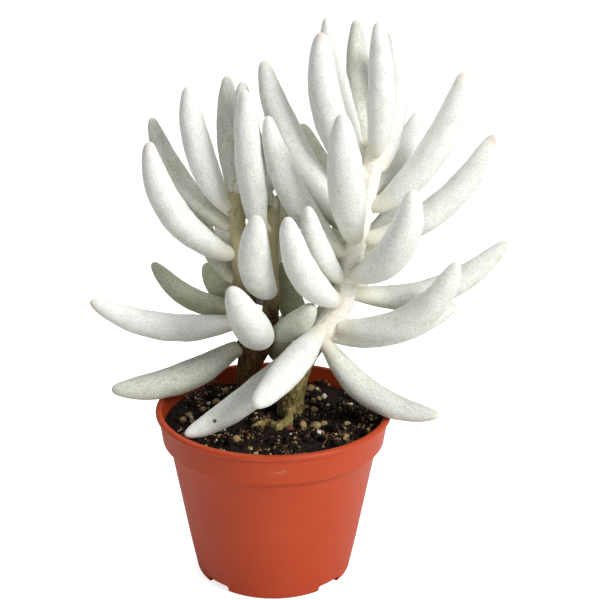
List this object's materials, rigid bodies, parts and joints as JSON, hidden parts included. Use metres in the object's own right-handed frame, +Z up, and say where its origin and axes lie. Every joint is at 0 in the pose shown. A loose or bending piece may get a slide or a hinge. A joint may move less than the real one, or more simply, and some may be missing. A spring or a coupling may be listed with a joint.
{
  "type": "potted senecio",
  "caption": "Branching succulent with finger-shaped felted leaves on bare woody stems, rooted in soil in a round tapered nursery pot with a stepped collar.",
  "frame": {"origin": "centre of the pot's base, in the plane that the pot stands on", "axes": "+Z up along the pot's axis, +X to the right and -Y towards the viewer, the side that the taller stem's leaves are seen best from"},
  "size_m": [0.147, 0.097, 0.1998],
  "materials": {
    "pot": "smooth moulded plastic, satin, earth orange",
    "soil": "moist dark peat with pale mineral grains; matt",
    "dark_bark": "rough reddish brown bark, paler and woolly towards the leaves",
    "pale_bark": "rough tan bark, cream and woolly towards the leaves",
    "leaf": "dense white felt over pale green, matt"
  },
  "bodies": {
    "root": {"pot": "pot", "soil": "soil", "left_stem": "dark_bark", "right_stem": "pale_bark", "left_leaf_01": "leaf", "left_leaf_02": "leaf", "left_leaf_03": "leaf", "left_leaf_04": "leaf", "left_leaf_05": "leaf", "left_leaf_06": "leaf", "left_leaf_07": "leaf", "left_leaf_08": "leaf", "left_leaf_09": "leaf", "left_leaf_10": "leaf", "left_leaf_11": "leaf", "left_leaf_12": "leaf", "left_leaf_13": "leaf", "middle_leaf_01": "leaf", "middle_leaf_02": "leaf", "middle_leaf_03": "leaf", "middle_leaf_04": "leaf", "middle_leaf_05": "leaf", "middle_leaf_06": "leaf", "middle_leaf_07": "leaf", "middle_leaf_08": "leaf", "right_leaf_01": "leaf", "right_leaf_02": "leaf", "right_leaf_03": "leaf", "right_leaf_04": "leaf", "right_leaf_05": "leaf", "right_leaf_06": "leaf", "right_leaf_07": "leaf", "right_leaf_08": "leaf", "right_leaf_09": "leaf", "right_leaf_10": "leaf", "right_leaf_11": "leaf", "right_leaf_12": "leaf", "right_leaf_13": "leaf", "right_leaf_14": "leaf", "right_leaf_15": "leaf", "right_leaf_16": "leaf", "right_leaf_17": "leaf", "right_leaf_18": "leaf", "right_leaf_19": "leaf", "right_leaf_20": "leaf", "right_leaf_21": "leaf", "right_leaf_22": "leaf", "right_leaf_23": "leaf", "right_leaf_24": "leaf", "right_leaf_25": "leaf", "right_leaf_26": "leaf", "right_leaf_27": "leaf", "right_leaf_28": "leaf", "right_leaf_29": "leaf"}
  },
  "joints": []
}
